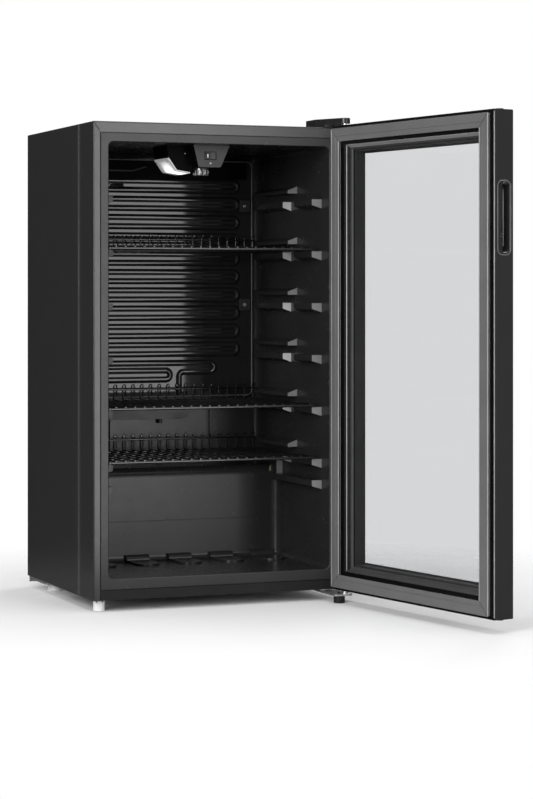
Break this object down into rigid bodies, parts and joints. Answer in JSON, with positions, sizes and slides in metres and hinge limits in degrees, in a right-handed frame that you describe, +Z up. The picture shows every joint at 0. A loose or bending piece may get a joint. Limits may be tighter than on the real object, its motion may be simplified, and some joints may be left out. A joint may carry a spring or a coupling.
{
  "type": "glass door merchandiser",
  "caption": "Compact under-counter beverage cooler: black cabinet with wire shelves and a right-hinged double-glazed door standing open.",
  "frame": {"origin": "on the floor under the centre of the bounding box with the door open as stored", "axes": "+Z up, +X to the cabinet's right seen from the front, +Y towards its back; the front faces -Y"},
  "size_m": [0.5608, 0.8921, 0.8652],
  "materials": {
    "black_paint": "satin",
    "back_paint": "matte",
    "liner_plastic": "satin",
    "foam": "matte",
    "plate_paint": "satin",
    "tube_paint": "satin",
    "black_plastic": "matte",
    "grey_plastic": "satin",
    "lens_white": "satin",
    "board_white": "satin",
    "clear_knob": "gloss",
    "white_plastic": "satin",
    "dark_plastic": "satin",
    "galvanised": "satin",
    "bright_steel": "polished",
    "screw_steel": "satin",
    "copper": "satin",
    "compressor_paint": "gloss",
    "rubber": "matte",
    "gasket_grey": "satin",
    "glass_outer": "gloss",
    "glass_inner": "gloss",
    "wire_coat": "gloss"
  },
  "bodies": {
    "cabinet": {"outer_shell": "black_paint", "back_panel": "back_paint", "front_rail": "black_paint", "floor_pan": "galvanised", "liner": "liner_plastic", "condenser_tube": "copper", "foam_insulation": "foam", "evaporator_plate": "plate_paint", "evaporator_tube": "tube_paint", "plate_clips": "black_plastic", "plate_screws": "screw_steel", "drip_trough": "black_plastic", "drain_tube": "black_plastic", "wall_plugs": "grey_plastic", "control_box": "black_plastic", "face_plate": "grey_plastic", "lamp_lens": "lens_white", "led_board": "board_white", "indicator": "lens_white", "switch_body": "black_plastic", "thermostat": "galvanised", "sensor_tube": "black_plastic", "compressor": "compressor_paint", "terminal_cover": "black_plastic", "base_plate": "galvanised", "rubber_mounts": "rubber", "mount_bolts": "screw_steel", "evaporation_pan": "black_plastic", "discharge_pipe": "copper", "suction_pipe": "copper", "filter_drier": "copper", "lead_gland": "black_plastic", "gland_bracket": "galvanised", "rear_feet": "white_plastic", "foot_bracket": "galvanised", "upper_hinge_plate": "galvanised", "upper_hinge_pad": "galvanised", "upper_hinge_cover": "dark_plastic", "upper_hinge_pin": "bright_steel", "lower_hinge_plate": "galvanised", "lower_hinge_pin": "bright_steel", "hinge_screws": "screw_steel", "hole_caps": "black_plastic"},
    "door": {"door_frame": "black_plastic", "door_inner_frame": "black_plastic", "door_core": "foam", "door_gasket": "gasket_grey", "door_bushes": "white_plastic", "door_plugs": "black_plastic", "outer_pane": "glass_outer", "inner_pane": "glass_inner", "pane_spacer": "black_plastic", "handle_cup": "black_plastic"},
    "knob": {"thermostat_knob": "clear_knob"},
    "rocker": {"light_rocker": "black_plastic"},
    "left_foot": {"foot_left": "white_plastic"},
    "right_foot": {"foot_right": "dark_plastic"},
    "top_shelf": {"shelf_top": "wire_coat"},
    "middle_shelf": {"shelf_middle": "wire_coat"},
    "bottom_shelf": {"shelf_bottom": "wire_coat"}
  },
  "joints": [
    {"name": "door_hinge", "type": "hinge", "parent": "cabinet", "child": "door", "pos_m": [0.18148, 0.01299, 0.44], "axis": [0, 0, 1], "range_deg": [-99.8, 35]},
    {"name": "knob_turn", "type": "hinge", "parent": "cabinet", "child": "knob", "pos_m": [-0.04952, 0.13149, 0.77], "axis": [0, 0, 1], "range_deg": [0, 300]},
    {"name": "light_switch", "type": "hinge", "parent": "cabinet", "child": "rocker", "pos_m": [-0.04912, 0.08389, 0.7965], "axis": [0, 0, 1], "range_deg": [0, 14]},
    {"name": "left_foot_turn", "type": "hinge", "parent": "cabinet", "child": "left_foot", "pos_m": [-0.26252, 0.06649, 0.008], "axis": [0, 0, 1], "range_deg": [0, 720]},
    {"name": "right_foot_turn", "type": "hinge", "parent": "cabinet", "child": "right_foot", "pos_m": [0.16718, 0.00549, 0.008], "axis": [0, 0, 1], "range_deg": [0, 720]},
    {"name": "top_shelf_slide", "type": "slide", "parent": "cabinet", "child": "top_shelf", "axis": [0, -1, 0], "range_m": [0, 0.26]},
    {"name": "middle_shelf_slide", "type": "slide", "parent": "cabinet", "child": "middle_shelf", "axis": [0, -1, 0], "range_m": [0, 0.26]},
    {"name": "bottom_shelf_slide", "type": "slide", "parent": "cabinet", "child": "bottom_shelf", "axis": [0, -1, 0], "range_m": [0, 0.26]}
  ]
}
